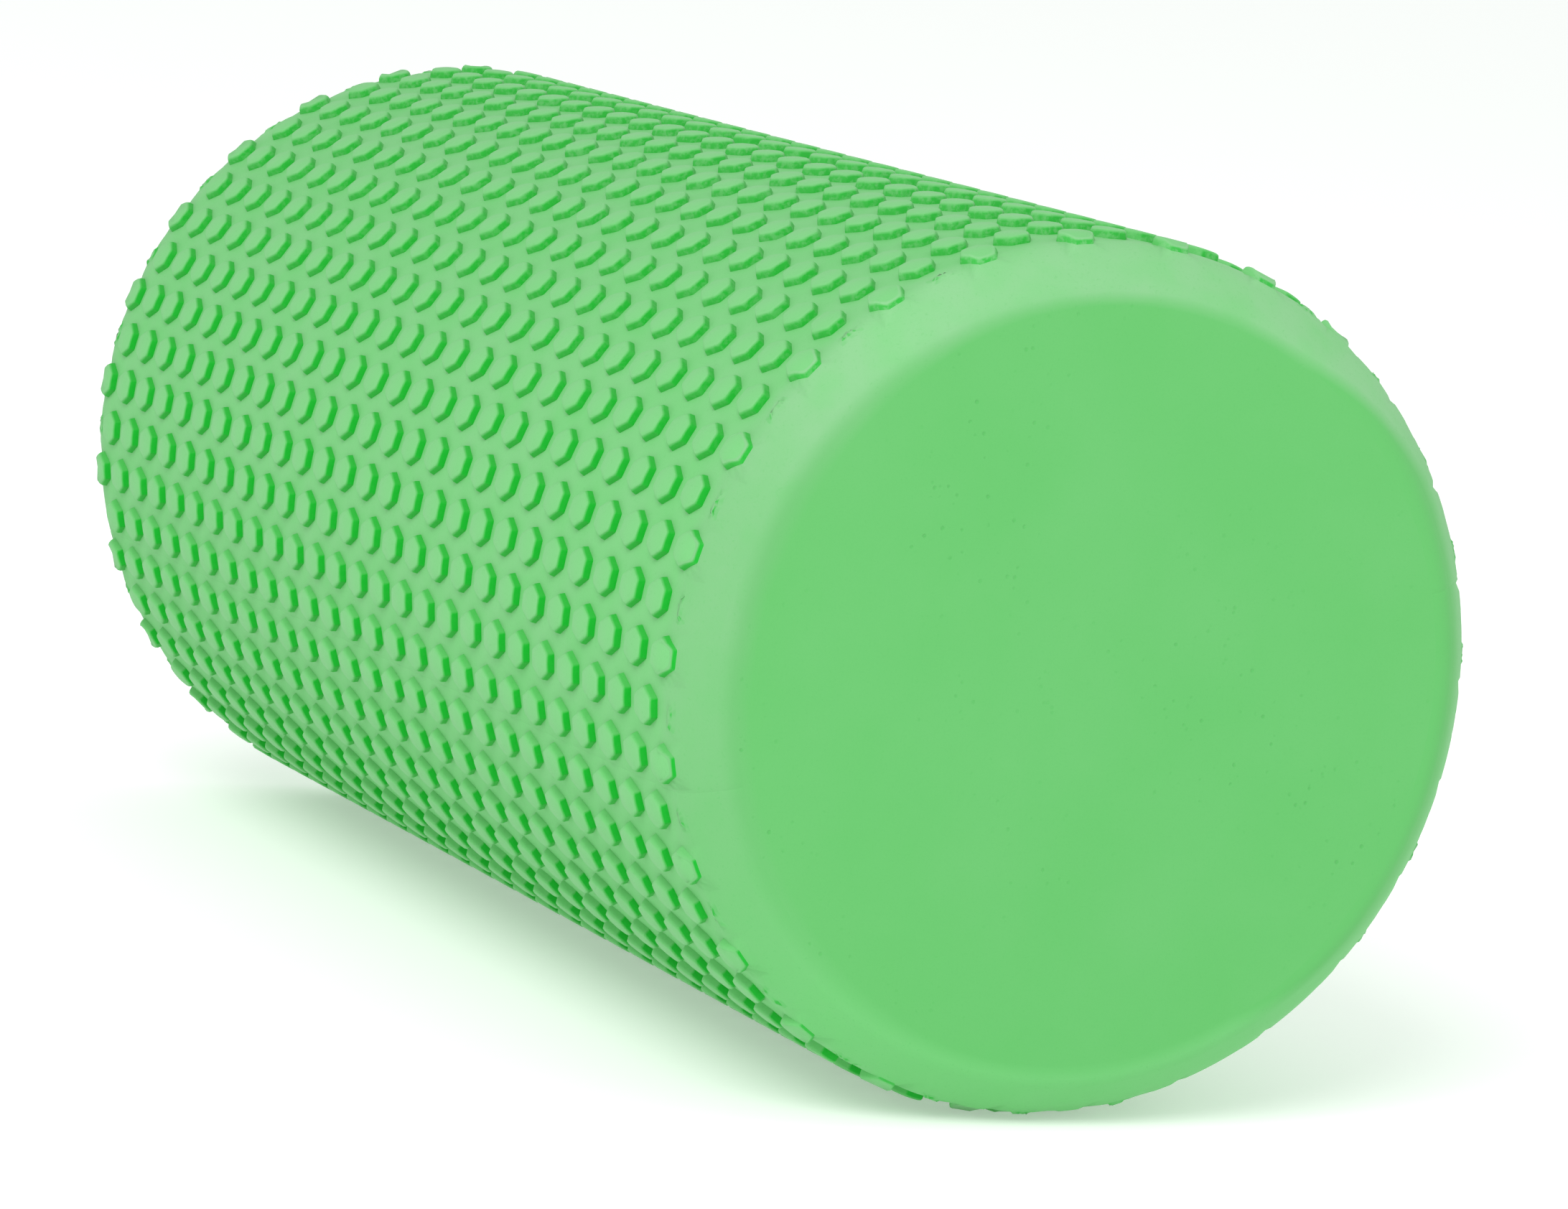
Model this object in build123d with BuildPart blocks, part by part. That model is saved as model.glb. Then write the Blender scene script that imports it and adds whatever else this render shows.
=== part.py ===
from build123d import *
import math
import os

# Solid EVA foam massage roller, lying on its side on the surface that it rolls on.
# The roller's axis runs along Y and +Z is up. The origin is the middle of the axis.
# A plain foam core is wrapped in a moulded skin made in two half shells. Each half carries
# the hexagonal massage studs and, past the last studs, a smooth sloping shoulder.

# Driving dimensions, in millimetres and degrees
ROLLER_LENGTH = 300.0
ROLLER_DIAMETER = 150.0        # over the stud tops
CORE_DIAMETER = 129.0          # the core's ends are the flat faces of the roller
STUD_HEIGHT = 1.5
SHOULDER_LENGTH = 6.4          # length of the sloping shoulder along the roller
SHOULDER_FOOT = 2.4            # width of the flat between the core and the foot of the slope
SHOULDER_ROUND = 3.0           # blend between the shoulder and the ground under the studs
RIM_ROUND = 4.4                # blend between the shoulder and the flat face

# Stud pattern: straight rows run along the roller, neighbours half a pitch apart
ROWS_AROUND = 52
STUDS_IN_ROW = 26
STUD_PITCH = 11.0
STUD_LENGTH = 6.7              # across the flats, along the roller
STUD_WIDTH = 7.1               # across the points, around the roller
STUD_FLAT = 3.3                # length of the two sides that face the roller's ends
STUD_DRAFT = 13.0              # slope of the stud walls
STUD_ROOT = 1.4                # depth of the stud's foot inside the skin

# Rows are numbered from the top row, turning from +Z towards +X. The even rows stand a
# quarter pitch towards +Y and the odd ones a quarter pitch towards -Y.
# The skin is parted in the gap before each of these two rows.
FIRST_UPPER_ROW = -15
FIRST_LOWER_ROW = 11

stud_top_radius = ROLLER_DIAMETER / 2
ground_radius = stud_top_radius - STUD_HEIGHT
core_radius = CORE_DIAMETER / 2
half_length = ROLLER_LENGTH / 2
row_angle = 360 / ROWS_AROUND
rows_per_half = ROWS_AROUND // 2


def outward(angle):
    """Direction away from the axis, at an angle from straight up towards +X."""
    return Vector(0, 0, 1).rotate(Axis.Y, angle)


def section_plane(angle):
    """Plane through the roller's axis: X runs along the axis and Y is the distance from it."""
    along = Vector(0, 1, 0)
    return Plane(origin=(0, 0, 0), x_dir=along, z_dir=along.cross(outward(angle)))


def stud_places(first_row):
    """Where the studs of one half skin stand, each with its own Z axis pointing outwards."""
    places = []
    for row in range(first_row, first_row + rows_per_half):
        direction = outward(row * row_angle)
        shift = 0.25 if row % 2 == 0 else -0.25
        for number in range(STUDS_IN_ROW):
            along = STUD_PITCH * (number - (STUDS_IN_ROW - 1) / 2 + shift)
            foot = Vector(0, along, 0) + direction * (ground_radius - STUD_ROOT)
            places.append(Location(Plane(origin=foot, x_dir=(0, 1, 0), z_dir=direction)))
    return places


# One stud: a hexagon with its points around the roller and walls that lean inwards
foot_growth = STUD_ROOT * math.tan(math.radians(STUD_DRAFT))
stud_half_length = STUD_LENGTH / 2 + foot_growth
stud_half_width = STUD_WIDTH / 2 + foot_growth
stud_half_flat = STUD_FLAT / 2 + foot_growth / 2

with BuildPart() as stud:
    with BuildSketch(Plane.XY):
        with BuildLine():
            Polyline(
                (stud_half_length, -stud_half_flat),
                (stud_half_length, stud_half_flat),
                (0, stud_half_width),
                (-stud_half_length, stud_half_flat),
                (-stud_half_length, -stud_half_flat),
                (0, -stud_half_width),
                close=True,
            )
        make_face()
    extrude(amount=STUD_ROOT + STUD_HEIGHT, taper=STUD_DRAFT)


def half_skin(first_row, label):
    """One half shell of the skin, from the gap before first_row through half a turn."""
    slope_start = half_length - SHOULDER_LENGTH
    slope_foot = core_radius + SHOULDER_FOOT
    with BuildPart() as skin:
        with BuildSketch(section_plane((first_row - 0.5) * row_angle)):
            with BuildLine():
                FilletPolyline(
                    (-half_length, core_radius),
                    (-half_length, slope_foot),
                    (-slope_start, ground_radius),
                    (slope_start, ground_radius),
                    (half_length, slope_foot),
                    (half_length, core_radius),
                    radius=(RIM_ROUND, SHOULDER_ROUND, SHOULDER_ROUND, RIM_ROUND),
                )
                Line((half_length, core_radius), (-half_length, core_radius))
            make_face()
        revolve(axis=Axis.Y, revolution_arc=180)
        with Locations(*stud_places(first_row)):
            add(stud.part)
    skin.part.label = label
    return skin.part


# The core is a plain solid cylinder of foam. Its two ends are the roller's flat faces.
with BuildPart() as foam_core:
    with BuildSketch(Plane.XZ.offset(-half_length)):
        Circle(core_radius)
    extrude(amount=ROLLER_LENGTH)
foam_core.part.label = "foam_core"

upper_skin = half_skin(FIRST_UPPER_ROW, "upper_skin")
lower_skin = half_skin(FIRST_LOWER_ROW, "lower_skin")

os.makedirs("parts", exist_ok=True)
for piece in (foam_core.part, upper_skin, lower_skin):
    export_step(piece, f"parts/{piece.label}.step")
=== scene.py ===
import math
import random

import bpy
import numpy as np
from mathutils import Matrix, Vector


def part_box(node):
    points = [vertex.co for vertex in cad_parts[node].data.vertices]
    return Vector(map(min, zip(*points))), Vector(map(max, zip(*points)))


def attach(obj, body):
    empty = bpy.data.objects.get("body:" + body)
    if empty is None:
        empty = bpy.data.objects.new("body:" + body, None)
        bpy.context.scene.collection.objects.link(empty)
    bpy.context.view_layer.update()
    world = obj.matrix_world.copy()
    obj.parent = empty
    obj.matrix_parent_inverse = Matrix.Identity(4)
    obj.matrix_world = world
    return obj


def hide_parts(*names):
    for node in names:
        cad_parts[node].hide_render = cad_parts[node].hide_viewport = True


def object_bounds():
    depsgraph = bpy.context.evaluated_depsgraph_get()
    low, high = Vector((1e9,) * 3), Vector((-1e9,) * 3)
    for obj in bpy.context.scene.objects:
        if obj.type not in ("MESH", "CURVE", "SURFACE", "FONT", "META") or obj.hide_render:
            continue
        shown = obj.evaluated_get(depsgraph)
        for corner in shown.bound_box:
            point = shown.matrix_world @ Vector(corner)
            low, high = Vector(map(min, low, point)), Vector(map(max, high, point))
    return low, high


# Studded EVA foam massage roller lying on its side. Its axis is Y, its ends are flat, and two
# moulded half skins with low hexagonal studs and smooth shoulders wrap a plain foam core.

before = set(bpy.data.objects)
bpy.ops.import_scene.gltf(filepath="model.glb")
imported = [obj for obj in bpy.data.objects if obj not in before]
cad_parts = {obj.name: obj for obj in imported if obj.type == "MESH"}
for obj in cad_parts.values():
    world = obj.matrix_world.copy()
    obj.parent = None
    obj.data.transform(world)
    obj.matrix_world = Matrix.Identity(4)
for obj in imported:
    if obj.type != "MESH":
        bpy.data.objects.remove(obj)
cad_low, cad_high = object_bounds()
core_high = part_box("foam_core")[1]

MM = 0.001
HALF_LENGTH = cad_high.y
STUD_TOP = cad_high.z
FLOOR_HEIGHT = cad_low.z
CORE_RADIUS = core_high.z

# Stud pattern
ROWS = 52
ROWS_PER_SKIN = ROWS // 2
STUDS_IN_ROW = 26
PITCH = 11.0 * MM
ROW_SHIFT = 0.25               # rows are shifted by this share of the pitch, one way or the other
ROW_ANGLE = 2 * math.pi / ROWS
STUD_HEIGHT = 1.5 * MM
GROUND = STUD_TOP - STUD_HEIGHT
# Rows are counted from the top of the roller
UPPER_FIRST_ROW = -15
LOWER_FIRST_ROW = UPPER_FIRST_ROW + ROWS_PER_SKIN
# The rows lean a little, because the skin was bonded slightly askew: radians per metre of length
TWIST = -0.0100 / 0.0735

# Each stud stands in a cell that is this many lattice steps long and wide
STEPS = 6
HALF_STEPS = STEPS // 2
OUTLINE = 4 * STEPS

# Rings of a stud from its foot to its top, in mm: height at the sides that face the ends, height
# at the two points, half length along the roller, half width around it, half length of the two
# sides that face the ends, and size of the corner rounding
STUD_RINGS = (
    (0.00, 0.00, 3.35, 3.55, 1.65, 0.22),
    (1.06, 0.78, 3.25, 3.36, 1.60, 0.32),
    (1.40, 1.24, 3.10, 3.08, 1.52, 0.60),
    (1.50, 1.48, 2.82, 2.68, 1.36, 0.90),
)

# Shoulder: the ground falls towards the flat end as a power curve and is rounded at the rim
SHOULDER_LENGTH = 7.2 * MM
SHOULDER_POWER = 1.4
SHOULDER_FOOT = 66.9 * MM
RIM_RADIUS = 4.4 * MM
SLOPE_STEPS = 5                # parts of the slope between the last stud cell and the rim
RIM_STEPS = 6                  # parts of the rounded rim
# Moulding the shoulder has cut the end studs back to a cone that comes up from the flat end
TRIM_START = 6.4 * MM          # distance from the flat end of the end studs' outer feet
TRIM_RISE = 0.48               # how steeply the cone rises
TRIM_HEIGHT = 0.55 * MM        # height of the cone over the ground at TRIM_START
TRIM_CHANGE = 0.30 * MM        # it is lower on one side of the roller than on the other
TRIM_SIDE = math.radians(-35)
TRIM_DEEP = 2.4 * MM           # it is lower still over nearly half of the way round
TRIM_DEEP_SIDE = math.radians(114)
TRIM_DEEP_SPREAD = 0.07        # cosine of the angle from there at which that begins
TRIM_DEEP_RANGE = 0.45         # how much further on, in cosine, it is in full
FLUSH = 0.03 * MM              # height left of a stud that is cut right away

# The half skins meet in a fine groove
PARTING_STRIP = 0.45 * MM      # half of the groove's width
PARTING_DEPTH = 0.08 * MM

# Ragged scars on the shoulder, where the next stud of a row was cut off. Ranges are in mm
SCAR_FROM_END = 7.5 * MM
SCAR_SHARE = 0.8               # share of the blank half cells that have a scar
SCAR_SEED = 100
SCAR_OFF_ALONG = 0.4
SCAR_OFF_AROUND = 0.8
SCAR_REACH = (1.3, 2.3)        # half length of a scar, which lies around the roller
SCAR_WIDTH = (0.45, 0.95)      # half width
SCAR_BEND = (0.2, 0.9)         # how far its ends bend towards the flat end
SCAR_SKEW = 0.25
SCAR_HEIGHT = (0.25, 0.42)
SCAR_LIFT = (0.25, 1.25)       # share of that height along the crest
SCAR_RAGGED = (0.85, 1.15)     # share of the half length along the outline
SCAR_CREST = (0.60, 0.72)      # where its crest lies along and around, as a share of its outline
SCAR_LOOPS = (0.35, 0.7, 1.0)  # loops from the cell's border to the scar's outline
SCAR_WALLS = (0.0, 0.0, 0.1, 0.4)  # strength of the deep wall colour from loop to loop
SCAR_PATCHES = (0.0, 0.5, 2.0)     # and how it varies round the scar

CORE_RINGS = 16
SHARP_ANGLE = 55


def shoulder_radius(from_end):
    """Radius of the ground at a distance from the flat end."""
    if from_end >= SHOULDER_LENGTH:
        return GROUND
    rest = 1 - max(from_end, 0.0) / SHOULDER_LENGTH
    return GROUND - (GROUND - SHOULDER_FOOT) * rest ** SHOULDER_POWER


def ground_radius(y):
    return shoulder_radius(HALF_LENGTH - abs(y))


def stud_top_radius(y, angle):
    """Radius of the stud tops, which the cut over the shoulder lowers near the ends."""
    from_end = HALF_LENGTH - abs(y)
    height = TRIM_HEIGHT + TRIM_CHANGE * math.cos(angle - TRIM_SIDE)
    deep = (math.cos(angle - TRIM_DEEP_SIDE) - TRIM_DEEP_SPREAD) / TRIM_DEEP_RANGE
    height -= TRIM_DEEP * min(1.0, max(0.0, deep))
    cone = shoulder_radius(TRIM_START) + height + TRIM_RISE * (from_end - TRIM_START)
    return max(min(STUD_TOP, cone), shoulder_radius(from_end) + FLUSH)


def shoulder_stations():
    """Points (distance from the flat end, radius) from the last stud cell to the core."""
    slope = (GROUND - SHOULDER_FOOT) * SHOULDER_POWER / SHOULDER_LENGTH
    turn = math.atan(1 / slope)
    tangent = RIM_RADIUS * math.tan(turn / 2)
    # the rounded rim meets the flat end at this radius and the slope at this distance from it
    rim_foot = SHOULDER_FOOT - tangent
    rim_start = tangent * math.cos(math.atan(slope))
    cells_end = HALF_LENGTH - PITCH * (STUDS_IN_ROW / 2 + ROW_SHIFT)
    stations = []
    for k in range(1, SLOPE_STEPS):
        s = cells_end + (rim_start - cells_end) * k / SLOPE_STEPS
        stations.append((s, shoulder_radius(s)))
    for k in range(RIM_STEPS + 1):
        angle = turn * (1 - k / RIM_STEPS)
        s = RIM_RADIUS * (1 - math.cos(angle))
        stations.append((s, rim_foot + RIM_RADIUS * math.sin(angle)))
    stations.append((0.0, (rim_foot + CORE_RADIUS) / 2))
    stations.append((0.0, CORE_RADIUS))
    return stations


def place(y, angle, radius):
    """World position of a point given along the axis, around it from the top, and off it."""
    turned = angle + TWIST * y
    return (radius * math.sin(turned), y, radius * math.cos(turned))


def stud_outline(half_length, half_width, half_flat, rounding):
    """Rounded hexagon with its points around the roller, starting at the middle of the +Y side."""
    corners = (
        (half_length, half_flat), (0.0, half_width), (-half_length, half_flat),
        (-half_length, -half_flat), (0.0, -half_width), (half_length, -half_flat),
    )
    points = []
    for index, corner in enumerate(corners):
        before = corners[index - 1]
        after = corners[(index + 1) % 6]
        corner, before, after = np.array(corner), np.array(before), np.array(after)
        start = corner + (before - corner) * rounding / np.linalg.norm(before - corner)
        end = corner + (after - corner) * rounding / np.linalg.norm(after - corner)
        points += [(before + corner) / 2, start, start / 4 + corner / 2 + end / 4, end]
    return [tuple(p) for p in points]


def stud_ring(side_height, point_height, half_length, half_width, half_flat, rounding):
    """Points (along, around, share of the stud's height) of one ring of a stud."""
    ring = []
    for a, b in stud_outline(half_length, half_width, half_flat, rounding):
        height = side_height + (point_height - side_height) * (b / half_width) ** 2
        ring.append((a * MM, b * MM, height * MM / STUD_HEIGHT))
    return ring


RINGS = [stud_ring(*ring) for ring in STUD_RINGS]
# Share of the walls' own deep colour at the lower and upper edge of each band of a stud, from
# the cell's border to the top
BAND_MASKS = ((0.0, 0.0), (1.0, 1.0), (1.0, 0.2), (0.0, 0.0))
# A stud that is cut down below this share of its height shows less and less of that colour
FULL_WALL_SHARE = 0.35
# The six walls of a stud as directions (along, around), in the order of its outline. Their deep
# colour is full on the two that face the ends, weaker on the slanting ones, and nearly gone on
# those that face up and to one side. The paler slanting and upward walls are painted light.
WALLS = ((1.0, 0.0), (0.49, 0.87), (-0.49, 0.87), (-1.0, 0.0), (-0.49, -0.87), (0.49, -0.87))
SLANT_WALL = 0.90
LIT_WALL = 0.12
LIGHT_FACING = (-0.5, 0.5)     # direction (x, z) that the walls with painted light face
LIT_RANGE = (0.43, 0.58)     # a wall gets painted light as its share of that direction rises through this
# painted light from above: walls on top of the roller lose this share of the deep colour
LIT_ON_TOP = 0.17


def wall_masks(angle):
    """Strength of the deep colour at each of the outline's points, for a stud at an angle."""
    strengths = []
    for along, around in WALLS:
        facing = around * (math.cos(angle) * LIGHT_FACING[0] - math.sin(angle) * LIGHT_FACING[1])
        # painted light: walls that face the light lose the deep colour
        lit_share = (facing - LIT_RANGE[0]) / (LIT_RANGE[1] - LIT_RANGE[0])
        lit_share = min(1.0, max(0.0, lit_share))
        full = 1.0 if around == 0.0 else SLANT_WALL
        # painted light from above on walls near the top of the roller
        full *= 1 - LIT_ON_TOP * max(0.0, math.cos(angle)) ** 2
        strengths.append(full + (LIT_WALL - full) * lit_share)
    masks = []
    for index, strength in enumerate(strengths):
        after = strengths[(index + 1) % len(WALLS)]
        masks += [strength, strength, (strength + after) / 2, after]
    return masks


class SkinMesh:
    """Collects the vertices and faces of one half skin, with a mask for each face corner."""

    def __init__(self, first_row):
        self.first_row = first_row
        self.verts = []
        self.faces = []
        self.wall = []
        self.crown = []
        self.lattice = {}
        steps = STUDS_IN_ROW * STEPS + HALF_STEPS
        cells = [(k - steps / 2) * PITCH / STEPS for k in range(steps + 1)]
        shoulder = shoulder_stations()
        near = [(-HALF_LENGTH + s, r) for s, r in reversed(shoulder)]
        middle = [(y, ground_radius(y)) for y in cells]
        far = [(HALF_LENGTH - s, r) for s, r in shoulder]
        self.stations = near + middle + far
        self.first_station = len(near)
        columns = ROWS_PER_SKIN * STEPS
        start = (first_row - 0.5) * ROW_ANGLE
        self.angles = [start + ROW_ANGLE * k / STEPS for k in range(columns + 1)]
        self.seams = (self.angles[0], self.angles[-1])
        self.angles[0] += PARTING_STRIP / GROUND
        self.angles[-1] -= PARTING_STRIP / GROUND

    def vertex(self, y, angle, radius):
        self.verts.append(place(y, angle, radius))
        return len(self.verts) - 1

    def node(self, station, column):
        """Lattice vertex, made once: station along the roller, column around it."""
        key = (station, column)
        if key not in self.lattice:
            y, radius = self.stations[station]
            self.lattice[key] = self.vertex(y, self.angles[column], radius)
        return self.lattice[key]

    def face(self, corners, wall=0.0, crown=0.0):
        count = len(corners)
        self.faces.append(tuple(corners))
        self.wall += list(wall) if isinstance(wall, tuple) else [wall] * count
        self.crown += [crown] * count

    def quad(self, station, column):
        self.face((self.node(station, column), self.node(station, column + 1),
                   self.node(station + 1, column + 1), self.node(station + 1, column)))

    def border(self, station, column, along=STEPS):
        """Lattice loop round one cell, starting at the middle of its +Y side."""
        far, mid = station + along, column + HALF_STEPS
        loop = [(far, mid + k) for k in range(HALF_STEPS)]
        loop += [(far - k, column + STEPS) for k in range(along)]
        loop += [(station, column + STEPS - k) for k in range(STEPS)]
        loop += [(station + k, column) for k in range(along)]
        loop += [(far, column + k) for k in range(HALF_STEPS)]
        return loop

    def stud(self, row, number):
        shift = ROW_SHIFT if row % 2 == 0 else -ROW_SHIFT
        centre = PITCH * (number - (STUDS_IN_ROW - 1) / 2 + shift)
        angle = row * ROW_ANGLE
        station = self.first_station + number * STEPS + (HALF_STEPS if row % 2 == 0 else 0)
        column = (row - self.first_row) * STEPS
        loops = [[self.node(*key) for key in self.border(station, column)]]
        for ring in RINGS:
            loop = []
            for a, b, share in ring:
                y = centre + a
                ground = ground_radius(y)
                radius = ground + (stud_top_radius(y, angle) - ground) * share
                loop.append(self.vertex(y, angle + b / GROUND, radius))
            loops.append(loop)
        sides = []
        for (a, _, _), side in zip(RINGS[1], wall_masks(angle)):
            height = stud_top_radius(centre + a, angle) - ground_radius(centre + a)
            sides.append(side * min(1.0, height / (FULL_WALL_SHARE * STUD_HEIGHT)))
        for low, high, (foot, brim) in zip(loops, loops[1:], BAND_MASKS):
            for k in range(OUTLINE):
                n = (k + 1) % OUTLINE
                mask = (foot * sides[k], brim * sides[k], brim * sides[n], foot * sides[n])
                self.face((low[k], high[k], high[n], low[n]), wall=mask)
        self.face(tuple(reversed(loops[-1])), crown=1.0)

    def scar(self, row, station):
        """Low ragged ridge in a blank half cell."""
        chance = random.Random(SCAR_SEED + row)
        column = (row - self.first_row) * STEPS
        keys = self.border(station, column, HALF_STEPS)
        count = len(keys)
        side = 1 if station > self.first_station else -1
        off = chance.uniform(-SCAR_OFF_ALONG, SCAR_OFF_ALONG) * MM
        middle = side * (HALF_LENGTH - SCAR_FROM_END + off)
        off = chance.uniform(-SCAR_OFF_AROUND, SCAR_OFF_AROUND) * MM
        angle = row * ROW_ANGLE + off / GROUND
        reach = chance.uniform(*SCAR_REACH) * MM
        skew = chance.uniform(-SCAR_SKEW, SCAR_SKEW)
        bend = chance.uniform(*SCAR_BEND) * MM
        height = chance.uniform(*SCAR_HEIGHT) * MM
        edge = []
        for k in range(count):
            turn = 2 * math.pi * k / count
            b = reach * math.sin(turn) * chance.uniform(*SCAR_RAGGED)
            a = chance.uniform(*SCAR_WIDTH) * MM * math.cos(turn)
            a += skew * b + side * bend * math.sin(turn) ** 2
            edge.append((middle + a, angle + b / GROUND))
        loops = [[self.node(*key) for key in keys]]
        for share in SCAR_LOOPS:
            loop = []
            for (border_station, border_column), (y, around) in zip(keys, edge):
                y0, around0 = self.stations[border_station][0], self.angles[border_column]
                y1 = y0 + (y - y0) * share
                loop.append(self.vertex(y1, around0 + (around - around0) * share, ground_radius(y1)))
            loops.append(loop)
        crest = []
        for y, around in edge:
            y1 = middle + (y - middle) * SCAR_CREST[0]
            lift = height * chance.uniform(*SCAR_LIFT)
            around1 = angle + (around - angle) * SCAR_CREST[1]
            crest.append(self.vertex(y1, around1, ground_radius(y1) + lift))
        loops.append(crest)
        rough = [chance.choice(SCAR_PATCHES) for _ in keys]
        for low, high, wall in zip(loops, loops[1:], SCAR_WALLS):
            for k in range(count):
                n = (k + 1) % count
                mask = (wall * rough[k], wall * rough[k], wall * rough[n], wall * rough[n])
                self.face((low[k], high[k], high[n], low[n]), wall=mask)
        self.face(tuple(reversed(crest)))

    def build(self):
        rows = range(self.first_row, self.first_row + ROWS_PER_SKIN)
        first = self.first_station
        last = first + STUDS_IN_ROW * STEPS + HALF_STEPS
        columns = ROWS_PER_SKIN * STEPS
        for row in rows:
            for number in range(STUDS_IN_ROW):
                self.stud(row, number)
            blank = first if row % 2 == 0 else last - HALF_STEPS
            if random.Random(row).random() < SCAR_SHARE:
                self.scar(row, blank)
                continue
            start = (row - self.first_row) * STEPS
            for station in range(blank, blank + HALF_STEPS):
                for column in range(start, start + STEPS):
                    self.quad(station, column)
        count = len(self.stations)
        for station in list(range(0, first)) + list(range(last, count - 1)):
            for column in range(columns):
                self.quad(station, column)
        self.close(count, columns)

    def sunk_stations(self, depth):
        """The profile set inwards by a depth, with its two ends kept on the core."""
        line = np.array(self.stations)
        along = np.gradient(line, axis=0)
        along /= np.linalg.norm(along, axis=1)[:, None]
        sunk = line + np.stack([along[:, 1], -along[:, 0]], 1) * depth
        sunk[0], sunk[-1] = line[0], line[-1]
        return [tuple(p) for p in sunk]

    def close(self, count, columns):
        """Parting faces, with a fine groove along the outer edge, and the inner surface."""
        # the inner surface needs only one station for each stud
        inner_stations = [0, self.first_station]
        inner_stations += list(range(self.first_station + STEPS, count - 1, STEPS))
        inner_stations = [s for s in inner_stations if s < count - 1 - self.first_station // 2]
        inner_stations.append(count - 1)
        inner_columns = list(range(0, columns + 1, STEPS))
        inner_radius = CORE_RADIUS / math.cos(ROW_ANGLE / 2)
        inside = {}
        for station in inner_stations[1:-1]:
            for column in inner_columns:
                angle = self.angles[column]
                if column == 0:
                    angle = self.seams[0]
                if column == columns:
                    angle = self.seams[1]
                inside[(station, column)] = self.vertex(self.stations[station][0], angle, inner_radius)
        # the parting line is one more column of vertices, set a little deeper
        sunk = self.sunk_stations(PARTING_DEPTH)
        for side, column in ((0, 0), (1, columns)):
            edge = []
            for y, radius in sunk:
                edge.append(self.vertex(y, self.seams[side], radius))
            for station in range(count - 1):
                low, high = self.node(station, column), self.node(station + 1, column)
                if side == 0:
                    self.face((edge[station], low, high, edge[station + 1]))
                else:
                    self.face((low, edge[station], edge[station + 1], high))
            inside[(0, column)] = edge[0]
            inside[(count - 1, column)] = edge[-1]
            for a, b in zip(inner_stations, inner_stations[1:]):
                # two fans of triangles, round the inner corners
                low, high = inside[(a, column)], inside[(b, column)]
                middle = (a + b) // 2
                if a == 0:
                    middle = a
                if b == count - 1:
                    middle = b
                fans = [(edge[k], edge[k + 1], low if k < middle else high) for k in range(a, b)]
                if a < middle < b:
                    fans.append((edge[middle], high, low))
                for fan in fans:
                    self.face(fan if side == 0 else tuple(reversed(fan)))
        # the inner surface, against the core
        for a, b in zip(inner_columns, inner_columns[1:]):
            for end, station in ((0, inner_stations[1]), (count - 1, inner_stations[-2])):
                loop = [self.node(end, c) for c in range(a, b + 1)]
                if a == 0:
                    loop = [inside[(end, 0)]] + loop
                if b == columns:
                    loop = loop + [inside[(end, columns)]]
                loop += [inside[(station, b)], inside[(station, a)]]
                self.face(tuple(loop) if end != 0 else tuple(reversed(loop)))
            for s, t in zip(inner_stations[1:-1], inner_stations[2:-1]):
                self.face((inside[(s, a)], inside[(t, a)], inside[(t, b)], inside[(s, b)]))


def finish_mesh(name, mesh, material):
    mesh.materials.append(material)
    mesh.update(calc_edges=True)
    mesh.polygons.foreach_set("use_smooth", [True] * len(mesh.polygons))
    mesh.set_sharp_from_angle(angle=math.radians(SHARP_ANGLE))
    obj = bpy.data.objects.new(name, mesh)
    bpy.context.scene.collection.objects.link(obj)
    return obj


def make_skin(name, first_row, material):
    build = SkinMesh(first_row)
    build.build()
    mesh = bpy.data.meshes.new(name)
    mesh.from_pydata(build.verts, [], build.faces)
    for label, values in (("wall", build.wall), ("crown", build.crown)):
        attribute = mesh.attributes.new(label, "FLOAT", "CORNER")
        attribute.data.foreach_set("value", values)
    return finish_mesh(name, mesh, material)


def make_core(name, material):
    """Closed cylinder whose end faces are rings of quads round one middle point."""
    columns = ROWS * STEPS
    start = (UPPER_FIRST_ROW - 0.5) * ROW_ANGLE
    radii = [CORE_RADIUS * k / CORE_RINGS for k in range(1, CORE_RINGS + 1)]
    verts, faces = [], []
    discs = []
    for y in (-HALF_LENGTH, HALF_LENGTH):
        middle = len(verts)
        verts.append((0.0, y, 0.0))
        rings = []
        for radius in radii:
            ring = []
            for k in range(columns):
                angle = start + ROW_ANGLE * k / STEPS
                ring.append(len(verts))
                verts.append(place(y, angle, radius))
            rings.append(ring)
        discs.append((middle, rings))
    for (middle, rings), flip in zip(discs, (True, False)):
        for k in range(columns):
            n = (k + 1) % columns
            fan = (middle, rings[0][k], rings[0][n])
            faces.append(tuple(reversed(fan)) if flip else fan)
            for a, b in zip(rings, rings[1:]):
                quad = (a[k], b[k], b[n], a[n])
                faces.append(tuple(reversed(quad)) if flip else quad)
    near, far = discs[0][1][-1], discs[1][1][-1]
    for k in range(columns):
        n = (k + 1) % columns
        faces.append((near[n], far[n], far[k], near[k]))
    mesh = bpy.data.meshes.new(name)
    mesh.from_pydata(verts, [], faces)
    return finish_mesh(name, mesh, material)


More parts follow.
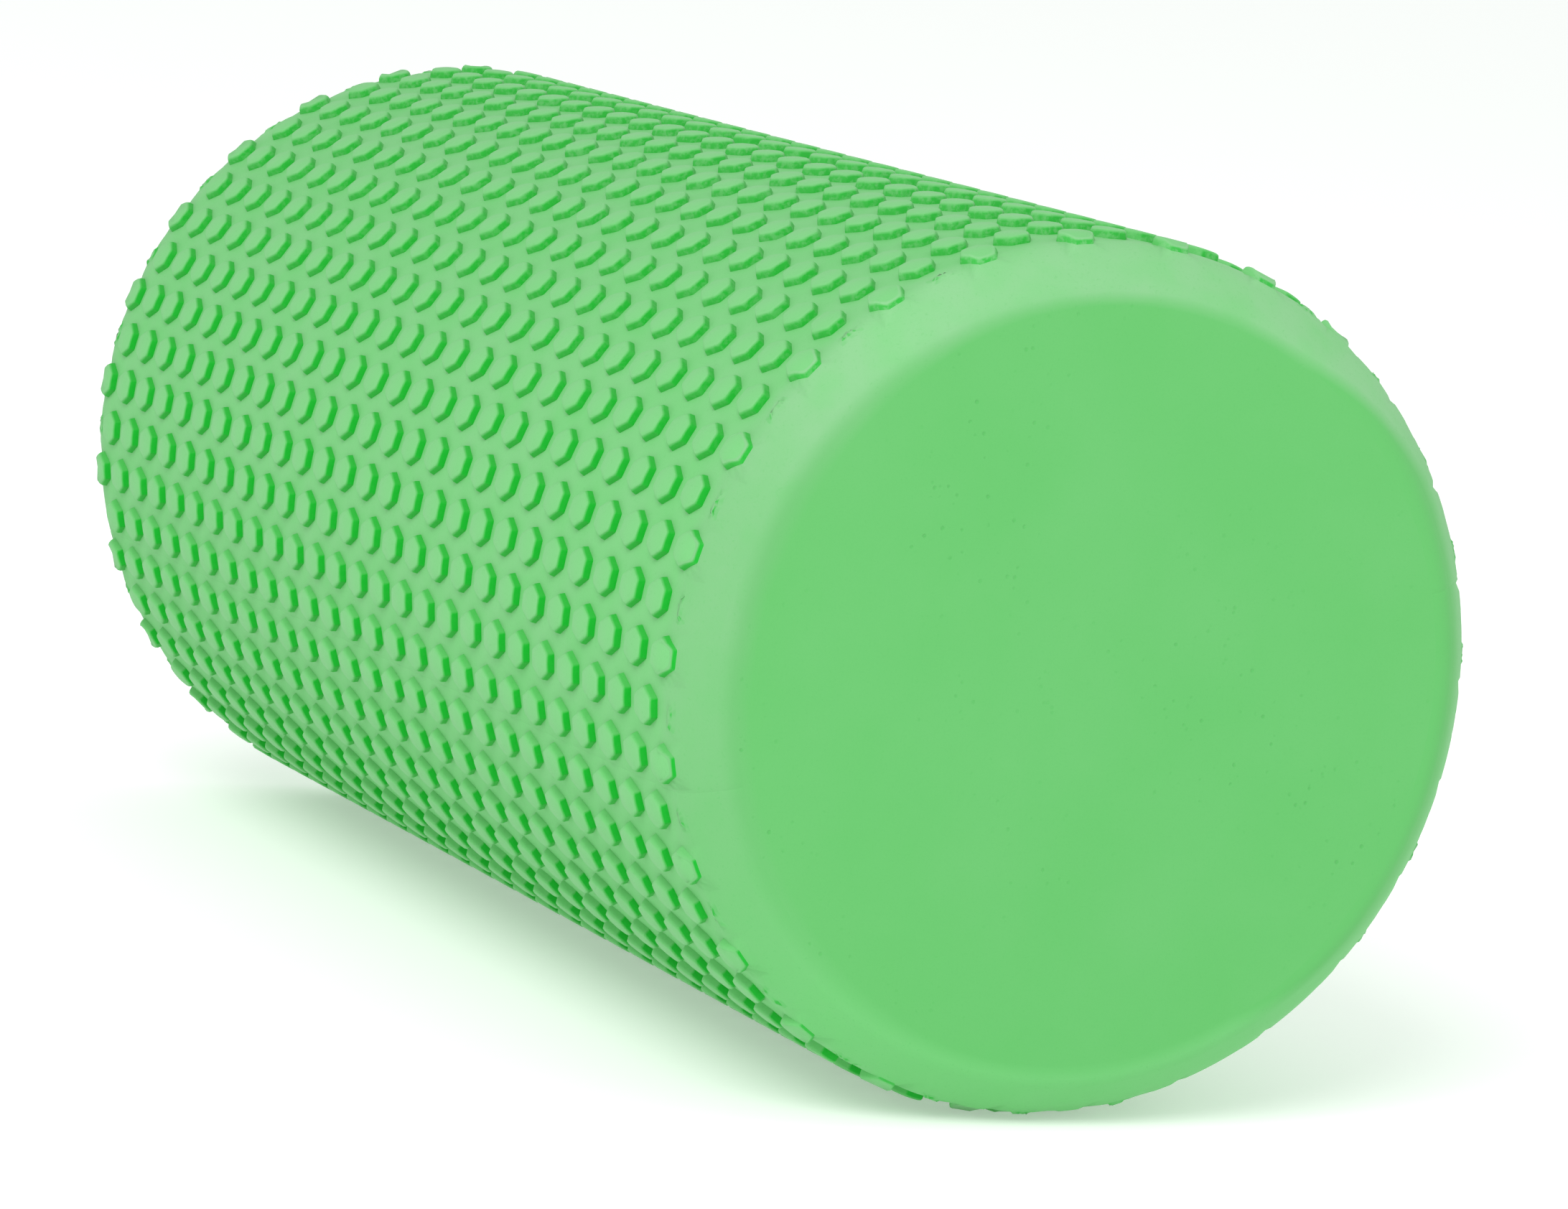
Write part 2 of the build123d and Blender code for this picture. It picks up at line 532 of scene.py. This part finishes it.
class Nodes:
    """Short way to build a node tree."""

    def __init__(self, name):
        self.material = bpy.data.materials.new(name)
        self.material.use_nodes = True
        self.tree = self.material.node_tree
        self.tree.nodes.clear()

    def add(self, kind, **settings):
        node = self.tree.nodes.new(kind)
        for key, value in settings.items():
            setattr(node, key, value)
        return node

    def link(self, source, target):
        self.tree.links.new(source, target)

    def noise(self, scale, detail=3.0, roughness=0.5):
        node = self.add("ShaderNodeTexNoise")
        node.inputs["Scale"].default_value = scale
        node.inputs["Detail"].default_value = detail
        node.inputs["Roughness"].default_value = roughness
        self.link(self.coordinates(), node.inputs["Vector"])
        return node.outputs["Fac"]

    def coordinates(self):
        if not hasattr(self, "_coordinates"):
            self._coordinates = self.add("ShaderNodeTexCoord").outputs["Object"]
        return self._coordinates

    def spread(self, value, low, high, out_low=0.0, out_high=1.0):
        node = self.add("ShaderNodeMapRange")
        node.inputs["From Min"].default_value = low
        node.inputs["From Max"].default_value = high
        node.inputs["To Min"].default_value = out_low
        node.inputs["To Max"].default_value = out_high
        self.link(value, node.inputs["Value"])
        return node.outputs["Result"]

    def mix(self, factor, a, b):
        node = self.add("ShaderNodeMix", data_type="RGBA")
        for socket, value in (("Factor", factor), ("A", a), ("B", b)):
            target = [s for s in node.inputs if s.name == socket and s.enabled][0]
            if isinstance(value, (int, float)):
                target.default_value = value
            elif isinstance(value, tuple):
                target.default_value = (*value, 1.0)
            else:
                self.link(value, target)
        return [s for s in node.outputs if s.enabled][0]

    def math(self, operation, a, b=None):
        node = self.add("ShaderNodeMath", operation=operation)
        for index, value in enumerate((a, b)):
            if value is None:
                continue
            if isinstance(value, (int, float)):
                node.inputs[index].default_value = value
            else:
                self.link(value, node.inputs[index])
        return node.outputs[0]

    def attribute(self, name):
        node = self.add("ShaderNodeAttribute", attribute_name=name)
        return node.outputs["Fac"]

    def bump(self, height, distance, strength, normal=None):
        node = self.add("ShaderNodeBump")
        node.inputs["Distance"].default_value = distance
        node.inputs["Strength"].default_value = strength
        self.link(height, node.inputs["Height"])
        if normal is not None:
            self.link(normal, node.inputs["Normal"])
        return node.outputs["Normal"]


# Foam colours, linear: the moulded skin, the tops and the walls of its studs, a pale colour that is
# random tone and painted light, the flat ends, their pores, and painted shade for one side of the
# shoulder.
# The walls get a deeper green, which painted light makes paler on some of them.
SKIN_COLOUR = (0.134, 0.512, 0.148)
CROWN_COLOUR = (0.163, 0.507, 0.176)
WALL_COLOUR = (0.000, 0.405, 0.018)
# random pale tone, and painted light where the top and the shoulder face the light
PALE_TONE_AND_LIGHT_COLOUR = (0.222, 0.505, 0.232)
FACE_COLOUR = (0.113, 0.462, 0.124)
PORE_COLOUR = (0.075, 0.410, 0.088)
# painted shade: a darker colour mixed into one side of the shoulder, where less light falls
PAINTED_SHADE_COLOUR = (0.020, 0.070, 0.022)
PAINTED_SHADE_SHARE = 0.14
PAINTED_SHADE_RANGE = (-0.95, -0.60)    # how far to the side, from -1 to 1, the shoulder gets painted shade
SPECULAR = 0.25
SHEEN = 0.06
SHEEN_ROUGHNESS = 0.5
SKIN_ROUGHNESS = (0.56, 0.70)
CORE_ROUGHNESS = 0.70
# The look of the flat end gives way to the shoulder's at this distance from the axis, over
# a wide or a narrow band, and further out where it wraps over the rim. The wide band is a painted
# gradient of light across the rounded rim, and the wrap is painted shade where the shoulder turns
# from the light.
RIM_MIDDLE = 65.0 * MM
RIM_SOFT = 5.8 * MM
RIM_SHARP = 2.4 * MM
RIM_SHADE_WRAP = 5.0 * MM
SOFT_RANGE = (-0.90, -0.30)    # how far to the side, from -1 to 1, the band goes from wide to narrow
SHADE_WRAP_RANGE = (0.50, 0.85)      # and over what range to the side the painted shade wraps further over the rim
# The shoulder's painted light and painted shade are full this near a flat end, and gone further along
SHOULDER_LIGHT_AND_SHADE = (6.0 * MM, 12.0 * MM)
# Scales of the noises, in cells per metre, and depths of the bumps
PALE_TONE_AND_LIGHT_SCALE = 70
PATCH_SCALE = 110
SPECK_SCALE = 1900
STREAK_SCALE = 850
GLOSS_SCALE = 90
DENT_SCALE = 260
GRAIN_SCALE = 2600
CLOUD_SCALE = 45
CROWD_SCALE = 28
CELL_SCALE = 520
CHOICE_SCALE = 430
FACE_GRAIN_SCALE = 2300
FACE_DENT_SCALE = 150
DENT_DEPTH = 0.25 * MM
FACE_DENT_DEPTH = 0.30 * MM
GRAIN_DEPTH = 0.06 * MM
PORE_DEPTH = 0.12 * MM
PORE_STRENGTH = 0.55


def foam_shader(n):
    shader = n.add("ShaderNodeBsdfPrincipled")
    shader.inputs["Specular IOR Level"].default_value = SPECULAR
    shader.inputs["Sheen Weight"].default_value = SHEEN
    shader.inputs["Sheen Roughness"].default_value = SHEEN_ROUGHNESS
    n.link(shader.outputs[0], n.add("ShaderNodeOutputMaterial").inputs[0])
    return shader


class Surface:
    """Masks on the roller's surface, from where a point lies on it."""

    def __init__(self, n):
        self.n = n
        parts = n.add("ShaderNodeSeparateXYZ")
        n.link(n.coordinates(), parts.inputs[0])
        self.x, self.y, self.z = parts.outputs

    def from_end(self, near, far):
        """1 within near of a flat end, falling to 0 at far from it."""
        along = self.n.math("ABSOLUTE", self.y)
        return self.n.spread(along, HALF_LENGTH - far, HALF_LENGTH - near)

    def upper(self, low, high, least):
        """Rises from least at one height to 1 at another."""
        return self.n.spread(self.z, low, high, least, 1.0)

    def polar(self):
        """Distance from the axis, and how far to the side a point lies, from -1 to 1."""
        n = self.n
        squares = n.math("ADD", n.math("MULTIPLY", self.x, self.x), n.math("MULTIPLY", self.z, self.z))
        radius = n.math("SQRT", squares)
        return radius, n.math("DIVIDE", self.x, radius)

    def rim(self):
        """0 on the flat end and 1 past the rim, where the smooth shoulder begins."""
        n = self.n
        radius, sideways = self.polar()
        # painted shade carries the flat end's look further over the rim on one side; on the other, a
        # painted gradient of light softens it
        shade_wrap = n.spread(sideways, *SHADE_WRAP_RANGE, 0.0, RIM_SHADE_WRAP)
        width = n.spread(sideways, *SOFT_RANGE, RIM_SOFT, RIM_SHARP)
        past = n.math("SUBTRACT", n.math("SUBTRACT", radius, shade_wrap), RIM_MIDDLE)
        return n.spread(n.math("DIVIDE", past, width), -0.5, 0.5)


def shoulder_foam(n, surface):
    """Moulded foam with a random pale tone and painted light, more of it on the shoulder and on top
    than underneath, and painted shade on one side.
    """
    # random pale tone, made stronger on top as painted light from above
    tone_and_light = n.spread(n.noise(PALE_TONE_AND_LIGHT_SCALE, 4, 0.55), 0.30, 0.72, 0.12, 0.50)
    tone_and_light = n.math("MULTIPLY", tone_and_light, surface.upper(-65 * MM, 0.0, 0.20))
    colour = n.mix(tone_and_light, SKIN_COLOUR, PALE_TONE_AND_LIGHT_COLOUR)
    # paler patches on the shoulder, random in place and stronger on top: painted light where the
    # shoulder faces up
    patches_and_light = n.spread(n.noise(PATCH_SCALE, 3, 0.5), 0.35, 0.65, 0.45, 0.90)
    patches_and_light = n.math("MULTIPLY", patches_and_light, surface.upper(-40 * MM, 40 * MM, 0.10))
    shoulder = surface.from_end(*SHOULDER_LIGHT_AND_SHADE)
    colour = n.mix(n.math("MULTIPLY", patches_and_light, shoulder), colour, PALE_TONE_AND_LIGHT_COLOUR)
    # painted shade: one side of the shoulder is darker
    sideways = surface.polar()[1]
    painted_shade = n.spread(sideways, *PAINTED_SHADE_RANGE, PAINTED_SHADE_SHARE, 0.0)
    return n.mix(n.math("MULTIPLY", painted_shade, shoulder), colour, PAINTED_SHADE_COLOUR)


def foam_skin():
    n = Nodes("skin_foam")
    surface = Surface(n)
    shader = foam_shader(n)
    colour = shoulder_foam(n, surface)
    colour = n.mix(n.attribute("crown"), colour, CROWN_COLOUR)
    colour = n.mix(surface.rim(), FACE_COLOUR, colour)
    specks = n.spread(n.noise(SPECK_SCALE, 2, 0.6), 0.60, 0.74, 0.0, 0.22)
    colour = n.mix(specks, colour, PORE_COLOUR)
    # the walls' deep colour is broken by random paler streaks, kept near the top of the roller as
    # painted light from above
    streaks_and_light = n.spread(n.noise(STREAK_SCALE, 3, 0.6), 0.45, 0.62, 0.0, 0.55)
    streaks_and_light = n.math("MULTIPLY", streaks_and_light, surface.upper(30 * MM, 70 * MM, 0.05))
    wall = n.math("MULTIPLY", n.attribute("wall"), n.math("SUBTRACT", 1.0, streaks_and_light))
    colour = n.mix(wall, colour, WALL_COLOUR)
    n.link(colour, shader.inputs["Base Color"])
    roughness = n.spread(n.noise(GLOSS_SCALE), 0.3, 0.7, *SKIN_ROUGHNESS)
    n.link(roughness, shader.inputs["Roughness"])
    dents = n.bump(n.noise(DENT_SCALE), DENT_DEPTH, 0.15)
    grain = n.bump(n.noise(GRAIN_SCALE, 3, 0.6), GRAIN_DEPTH, 0.40, dents)
    n.link(grain, shader.inputs["Normal"])
    return n.material


def foam_core():
    n = Nodes("core_foam")
    surface = Surface(n)
    shader = foam_shader(n)
    shader.inputs["Roughness"].default_value = CORE_ROUGHNESS
    clouds = n.spread(n.noise(CLOUD_SCALE, 4, 0.55), 0.35, 0.70, 0.0, 0.10)
    colour = n.mix(clouds, FACE_COLOUR, PALE_TONE_AND_LIGHT_COLOUR)
    colour = n.mix(surface.rim(), colour, shoulder_foam(n, surface))
    # fine pores, crowded in some places and nearly absent in others
    crowd = n.spread(n.noise(CROWD_SCALE, 2), 0.42, 0.62)
    cells = n.add("ShaderNodeTexVoronoi")
    cells.inputs["Scale"].default_value = CELL_SCALE
    n.link(n.coordinates(), cells.inputs["Vector"])
    dots = n.spread(cells.outputs["Distance"], 0.13, 0.22, 1.0, 0.0)
    chosen = n.spread(n.noise(CHOICE_SCALE, 1), 0.50, 0.62)
    pores = n.math("MULTIPLY", n.math("MULTIPLY", dots, chosen), crowd)
    grain = n.spread(n.noise(FACE_GRAIN_SCALE, 3, 0.65), 0.52, 0.75, 0.0, 0.20)
    colour = n.mix(grain, colour, PORE_COLOUR)
    colour = n.mix(n.math("MULTIPLY", pores, PORE_STRENGTH), colour, PORE_COLOUR)
    n.link(colour, shader.inputs["Base Color"])
    soft = n.bump(n.noise(FACE_DENT_SCALE), FACE_DENT_DEPTH, 0.25)
    fine = n.bump(n.noise(GRAIN_SCALE, 3, 0.6), GRAIN_DEPTH, 0.35, soft)
    sunk_pores = n.bump(n.math("SUBTRACT", 1.0, pores), PORE_DEPTH, 0.60, fine)
    n.link(sunk_pores, shader.inputs["Normal"])
    return n.material


skin_material = foam_skin()
core_material = foam_core()

core = make_core("foam_core_cut", core_material)
upper = make_skin("upper_skin_moulded", UPPER_FIRST_ROW, skin_material)
lower = make_skin("lower_skin_moulded", LOWER_FIRST_ROW, skin_material)

for piece, node, slot in (
    (core, "foam_core", "core_foam"),
    (upper, "upper_skin", "skin_foam"),
    (lower, "lower_skin", "skin_foam"),
):
    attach(piece, "root")
    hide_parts(node)

# Floor, light and camera
FLOOR_REACH = 6.0
FLOOR_COLOUR = (0.80, 0.80, 0.80)
FLOOR_GLOW = 0.32
SKY_COLOUR = (0.95, 1.0, 0.96)
SKY_STRENGTH = 0.80
LIGHT_COLOUR = (1.0, 0.95, 0.99)
LIGHT_SIZE = 1.3
KEY_PLACE = (-1.22, -1.27, 1.50)
KEY_POWER = 29
FILL_PLACE = (1.60, -0.35, 1.00)
FILL_POWER = 3.5

floor_mesh = bpy.data.meshes.new("floor")
corners = ((-1, -1), (1, -1), (1, 1), (-1, 1))
floor_mesh.from_pydata(
    [(FLOOR_REACH * x, FLOOR_REACH * y, FLOOR_HEIGHT) for x, y in corners], [], [(0, 1, 2, 3)])
floor = bpy.data.objects.new("floor", floor_mesh)
bpy.context.scene.collection.objects.link(floor)
floor_look = Nodes("floor_white")
floor_shader = floor_look.add("ShaderNodeBsdfPrincipled")
floor_shader.inputs["Base Color"].default_value = (*FLOOR_COLOUR, 1)
floor_shader.inputs["Roughness"].default_value = 0.9
floor_shader.inputs["Emission Color"].default_value = (1, 1, 1, 1)
floor_shader.inputs["Emission Strength"].default_value = FLOOR_GLOW
floor_look.link(floor_shader.outputs[0], floor_look.add("ShaderNodeOutputMaterial").inputs[0])
floor_mesh.materials.append(floor_look.material)

world = bpy.data.worlds.new("studio")
world.use_nodes = True
background = world.node_tree.nodes["Background"]
background.inputs["Color"].default_value = (*SKY_COLOUR, 1)
background.inputs["Strength"].default_value = SKY_STRENGTH
bpy.context.scene.world = world
bpy.context.scene.view_settings.view_transform = "Standard"


def area_light(name, place_at, power):
    data = bpy.data.lights.new(name, "AREA")
    data.shape = "DISK"
    data.size = LIGHT_SIZE
    data.energy = power
    data.color = LIGHT_COLOUR
    light = bpy.data.objects.new(name, data)
    light.location = place_at
    light.rotation_mode = "QUATERNION"
    light.rotation_quaternion = (-Vector(place_at)).to_track_quat("-Z", "Y")
    bpy.context.scene.collection.objects.link(light)


area_light("key", KEY_PLACE, KEY_POWER)
area_light("fill", FILL_PLACE, FILL_POWER)

# Camera: where it stands, the direction it looks in and how far it leans, in degrees
CAMERA_PLACE = Vector((-0.52626, -1.14405, 0.16511))
CAMERA_HEADING = 25.222
CAMERA_DIP = 7.925
CAMERA_LEAN = -5.855
CAMERA_LENS = 157.79

camera_data = bpy.data.cameras.new("camera")
camera_data.lens = CAMERA_LENS
camera_data.sensor_width = 36.0
camera_data.clip_start = 0.05
camera_data.clip_end = 50.0
camera = bpy.data.objects.new("camera", camera_data)
heading, dip, lean = (math.radians(v) for v in (CAMERA_HEADING, CAMERA_DIP, CAMERA_LEAN))
forward = Vector((math.sin(heading) * math.cos(dip), math.cos(heading) * math.cos(dip), -math.sin(dip)))
level = forward.cross(Vector((0, 0, 1))).normalized()
upright = level.cross(forward)
up = upright * math.cos(lean) + level * math.sin(lean)
right = forward.cross(up)
camera.matrix_world = Matrix((
    (right.x, up.x, -forward.x, CAMERA_PLACE.x),
    (right.y, up.y, -forward.y, CAMERA_PLACE.y),
    (right.z, up.z, -forward.z, CAMERA_PLACE.z),
    (0, 0, 0, 1),
))
bpy.context.scene.collection.objects.link(camera)
bpy.context.scene.camera = camera

bpy.context.view_layer.update()
